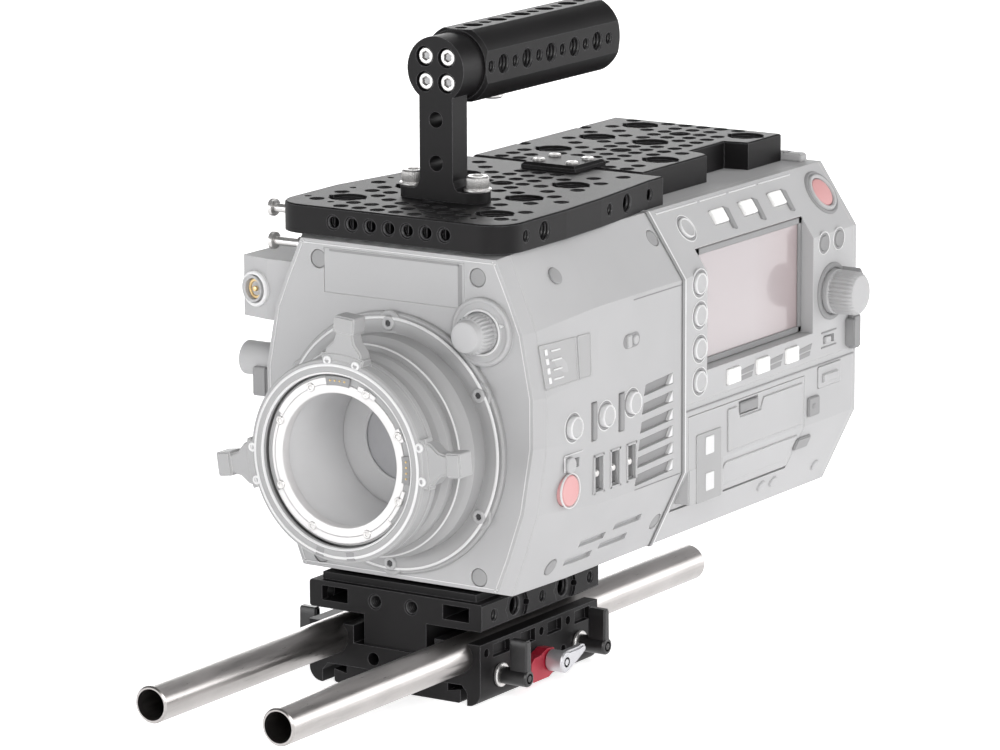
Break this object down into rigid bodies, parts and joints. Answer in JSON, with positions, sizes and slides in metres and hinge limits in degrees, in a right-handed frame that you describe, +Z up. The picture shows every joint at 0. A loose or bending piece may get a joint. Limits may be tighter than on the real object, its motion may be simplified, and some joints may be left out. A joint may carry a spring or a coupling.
{
  "type": "cinema camera rig",
  "caption": "Boxy cinema camera head and recorder held between drilled black top plates with a carrying handle and a rod baseplate with two long steel rods.",
  "frame": {"origin": "middle of the baseplate's underside", "axes": "+X to the control side (the operator's right seen from the front), +Y from the lens to the back, +Z up"},
  "size_m": [0.1628, 0.3794, 0.2636],
  "materials": {
    "black_anodised": "satin black anodised",
    "rod_steel": "brushed stainless steel",
    "silver_steel": "bright turned steel",
    "lever_grey": "bead-blasted grey",
    "latch_red": "red anodised",
    "camera_casting": "matt pale grey paint",
    "mount_metal": "satin grey",
    "inner_metal": "plain milled",
    "control_grey": "fine moulded texture",
    "record_red": "fine moulded texture",
    "key_white": "smooth moulded",
    "recorder_casing": "matt pale grey",
    "inner_plastic": "matt black",
    "screen_glass": "glossy display cover"
  },
  "bodies": {
    "rig": {"rod_clamp_block": "black_anodised", "dovetail_rail": "black_anodised", "riser_block": "black_anodised", "front_top_plate": "black_anodised", "rear_top_plate": "black_anodised", "seam_link_plate": "black_anodised", "handle_post": "black_anodised", "handle_grip": "black_anodised", "silver_fittings": "silver_steel", "mount_seat_ring": "silver_steel", "camera_front_cover": "camera_casting", "camera_chassis": "camera_casting", "camera_left_cover": "camera_casting", "camera_right_cover": "camera_casting", "lens_port": "mount_metal", "sensor_block": "inner_metal", "recorder_frame": "recorder_casing", "recorder_left_cover": "recorder_casing", "recorder_right_cover": "recorder_casing", "control_panel": "recorder_casing", "rear_panel": "recorder_casing", "card_bay": "inner_plastic", "display_screen": "screen_glass"},
    "rod_left": {"rod_left": "rod_steel"},
    "rod_right": {"rod_right": "rod_steel"},
    "clamp_lever_front_right": {"clamp_lever_front_right": "black_anodised"},
    "clamp_lever_rear_right": {"clamp_lever_rear_right": "black_anodised"},
    "clamp_lever_front_left": {"clamp_lever_front_left": "black_anodised"},
    "clamp_lever_rear_left": {"clamp_lever_rear_left": "black_anodised"},
    "release_lever": {"release_lever": "lever_grey"},
    "safety_latch": {"safety_latch": "latch_red"},
    "mount_lock_ring": {"mount_lock_ring": "mount_metal"},
    "filter_dial": {"filter_dial": "control_grey"},
    "filter_wheel": {"filter_wheel": "inner_metal"},
    "camera_button_front": {"camera_button_front": "control_grey"},
    "camera_button_middle": {"camera_button_middle": "control_grey"},
    "camera_button_rear": {"camera_button_rear": "control_grey"},
    "camera_record_button": {"camera_record_button": "record_red"},
    "toggle_front": {"toggle_front": "control_grey"},
    "toggle_middle": {"toggle_middle": "control_grey"},
    "toggle_rear": {"toggle_rear": "control_grey"},
    "power_switch": {"power_switch": "control_grey"},
    "cooling_fan": {"cooling_fan": "inner_plastic"},
    "card_door": {"card_door": "recorder_casing"},
    "jog_dial": {"jog_dial": "control_grey"},
    "display_button_top": {"display_button_top": "control_grey"},
    "display_button_upper": {"display_button_upper": "control_grey"},
    "display_button_lower": {"display_button_lower": "control_grey"},
    "display_button_bottom": {"display_button_bottom": "control_grey"},
    "menu_button": {"menu_button": "control_grey"},
    "exit_button": {"exit_button": "control_grey"},
    "display_button_corner": {"display_button_corner": "control_grey"},
    "recorder_record_button": {"recorder_record_button": "record_red"},
    "soft_key_upper_front": {"soft_key_upper_front": "key_white"},
    "soft_key_upper_middle": {"soft_key_upper_middle": "key_white"},
    "soft_key_upper_rear": {"soft_key_upper_rear": "key_white"},
    "soft_key_lower_front": {"soft_key_lower_front": "key_white"},
    "soft_key_lower_middle": {"soft_key_lower_middle": "key_white"},
    "soft_key_lower_rear": {"soft_key_lower_rear": "key_white"},
    "lock_switch": {"lock_switch": "control_grey"}
  },
  "joints": [
    {"name": "rod_left_slide", "type": "slide", "parent": "rig", "child": "rod_left", "axis": [0, 1, 0], "range_m": [-0.06, 0.06]},
    {"name": "rod_right_slide", "type": "slide", "parent": "rig", "child": "rod_right", "axis": [0, 1, 0], "range_m": [-0.06, 0.06]},
    {"name": "clamp_lever_front_right_turn", "type": "hinge", "parent": "rig", "child": "clamp_lever_front_right", "pos_m": [0.045, -0.03, 0.0107], "axis": [1, 0, 0], "range_deg": [0, 90]},
    {"name": "clamp_lever_rear_right_turn", "type": "hinge", "parent": "rig", "child": "clamp_lever_rear_right", "pos_m": [0.045, 0.0291, 0.0107], "axis": [1, 0, 0], "range_deg": [-90, 0]},
    {"name": "clamp_lever_front_left_turn", "type": "hinge", "parent": "rig", "child": "clamp_lever_front_left", "pos_m": [-0.045, -0.03, 0.0107], "axis": [1, 0, 0], "range_deg": [0, 90]},
    {"name": "clamp_lever_rear_left_turn", "type": "hinge", "parent": "rig", "child": "clamp_lever_rear_left", "pos_m": [-0.045, 0.0291, 0.0107], "axis": [1, 0, 0], "range_deg": [-90, 0]},
    {"name": "release_lever_turn", "type": "hinge", "parent": "rig", "child": "release_lever", "pos_m": [0.05, -0.0005, 0.0107], "axis": [1, 0, 0], "range_deg": [0, 75]},
    {"name": "safety_latch_turn", "type": "hinge", "parent": "rig", "child": "safety_latch", "pos_m": [0.044, -0.0005, 0.0107], "axis": [1, 0, 0], "range_deg": [-25, 0], "stiffness_Nm_per_rad": 0.05},
    {"name": "mount_lock_ring_turn", "type": "hinge", "parent": "rig", "child": "mount_lock_ring", "pos_m": [0, -0.0785, 0.1035], "axis": [0, -1, 0], "range_deg": [-38, 0]},
    {"name": "filter_dial_turn", "type": "hinge", "parent": "rig", "child": "filter_dial", "pos_m": [0.0425, -0.0435, 0.153], "axis": [0, -1, 0], "continuous": true},
    {"name": "filter_wheel_turn", "type": "hinge", "parent": "rig", "child": "filter_wheel", "pos_m": [0.014, -0.0345, 0.128], "axis": [0, -1, 0], "continuous": true},
    {"name": "camera_button_front_slide", "type": "slide", "parent": "rig", "child": "camera_button_front", "axis": [-1, 0, 0], "range_m": [0, 0.001], "stiffness_N_per_m": 300},
    {"name": "camera_button_middle_slide", "type": "slide", "parent": "rig", "child": "camera_button_middle", "axis": [-1, 0, 0], "range_m": [0, 0.001], "stiffness_N_per_m": 300},
    {"name": "camera_button_rear_slide", "type": "slide", "parent": "rig", "child": "camera_button_rear", "axis": [-1, 0, 0], "range_m": [0, 0.001], "stiffness_N_per_m": 300},
    {"name": "camera_record_button_slide", "type": "slide", "parent": "rig", "child": "camera_record_button", "axis": [-1, 0, 0], "range_m": [0, 0.001], "stiffness_N_per_m": 300},
    {"name": "toggle_front_turn", "type": "hinge", "parent": "rig", "child": "toggle_front", "pos_m": [0.06, 0.002, 0.09], "axis": [0, 1, 0], "range_deg": [-20, 20]},
    {"name": "toggle_middle_turn", "type": "hinge", "parent": "rig", "child": "toggle_middle", "pos_m": [0.06, 0.0145, 0.09], "axis": [0, 1, 0], "range_deg": [-20, 20]},
    {"name": "toggle_rear_turn", "type": "hinge", "parent": "rig", "child": "toggle_rear", "pos_m": [0.06, 0.027, 0.09], "axis": [0, 1, 0], "range_deg": [-20, 20]},
    {"name": "power_switch_slide", "type": "slide", "parent": "rig", "child": "power_switch", "axis": [0, 1, 0], "range_m": [0, 0.005]},
    {"name": "cooling_fan_turn", "type": "hinge", "parent": "rig", "child": "cooling_fan", "pos_m": [0.00175, 0.1995, 0.116], "axis": [0, 1, 0], "continuous": true},
    {"name": "card_door_turn", "type": "hinge", "parent": "rig", "child": "card_door", "pos_m": [0.0584, 0.1195, 0.06055], "axis": [0, 1, 0], "range_deg": [0, 95]},
    {"name": "jog_dial_turn", "type": "hinge", "parent": "rig", "child": "jog_dial", "pos_m": [0.074, 0.1903, 0.1328], "axis": [1, 0, 0], "continuous": true},
    {"name": "display_button_top_slide", "type": "slide", "parent": "rig", "child": "display_button_top", "axis": [-1, 0, 0], "range_m": [0, 0.001], "stiffness_N_per_m": 300},
    {"name": "display_button_upper_slide", "type": "slide", "parent": "rig", "child": "display_button_upper", "axis": [-1, 0, 0], "range_m": [0, 0.001], "stiffness_N_per_m": 300},
    {"name": "display_button_lower_slide", "type": "slide", "parent": "rig", "child": "display_button_lower", "axis": [-1, 0, 0], "range_m": [0, 0.001], "stiffness_N_per_m": 300},
    {"name": "display_button_bottom_slide", "type": "slide", "parent": "rig", "child": "display_button_bottom", "axis": [-1, 0, 0], "range_m": [0, 0.001], "stiffness_N_per_m": 300},
    {"name": "menu_button_slide", "type": "slide", "parent": "rig", "child": "menu_button", "axis": [-1, 0, 0], "range_m": [0, 0.001], "stiffness_N_per_m": 300},
    {"name": "exit_button_slide", "type": "slide", "parent": "rig", "child": "exit_button", "axis": [-1, 0, 0], "range_m": [0, 0.001], "stiffness_N_per_m": 300},
    {"name": "display_button_corner_slide", "type": "slide", "parent": "rig", "child": "display_button_corner", "axis": [-0.8279, 0, -0.5609], "range_m": [0, 0.001], "stiffness_N_per_m": 300},
    {"name": "recorder_record_button_slide", "type": "slide", "parent": "rig", "child": "recorder_record_button", "axis": [-0.8279, 0, -0.5609], "range_m": [0, 0.001], "stiffness_N_per_m": 300},
    {"name": "soft_key_upper_front_slide", "type": "slide", "parent": "rig", "child": "soft_key_upper_front", "axis": [-0.8279, 0, -0.5609], "range_m": [0, 0.001], "stiffness_N_per_m": 300},
    {"name": "soft_key_upper_middle_slide", "type": "slide", "parent": "rig", "child": "soft_key_upper_middle", "axis": [-0.8279, 0, -0.5609], "range_m": [0, 0.001], "stiffness_N_per_m": 300},
    {"name": "soft_key_upper_rear_slide", "type": "slide", "parent": "rig", "child": "soft_key_upper_rear", "axis": [-0.8279, 0, -0.5609], "range_m": [0, 0.001], "stiffness_N_per_m": 300},
    {"name": "soft_key_lower_front_slide", "type": "slide", "parent": "rig", "child": "soft_key_lower_front", "axis": [-1, 0, 0], "range_m": [0, 0.001], "stiffness_N_per_m": 300},
    {"name": "soft_key_lower_middle_slide", "type": "slide", "parent": "rig", "child": "soft_key_lower_middle", "axis": [-1, 0, 0], "range_m": [0, 0.001], "stiffness_N_per_m": 300},
    {"name": "soft_key_lower_rear_slide", "type": "slide", "parent": "rig", "child": "soft_key_lower_rear", "axis": [-1, 0, 0], "range_m": [0, 0.001], "stiffness_N_per_m": 300},
    {"name": "lock_switch_slide", "type": "slide", "parent": "rig", "child": "lock_switch", "axis": [0, 1, 0], "range_m": [0, 0.004]}
  ],
  "couplings": [
    {"joint": "filter_wheel_turn", "follows": "filter_dial_turn", "ratio": -0.25}
  ]
}
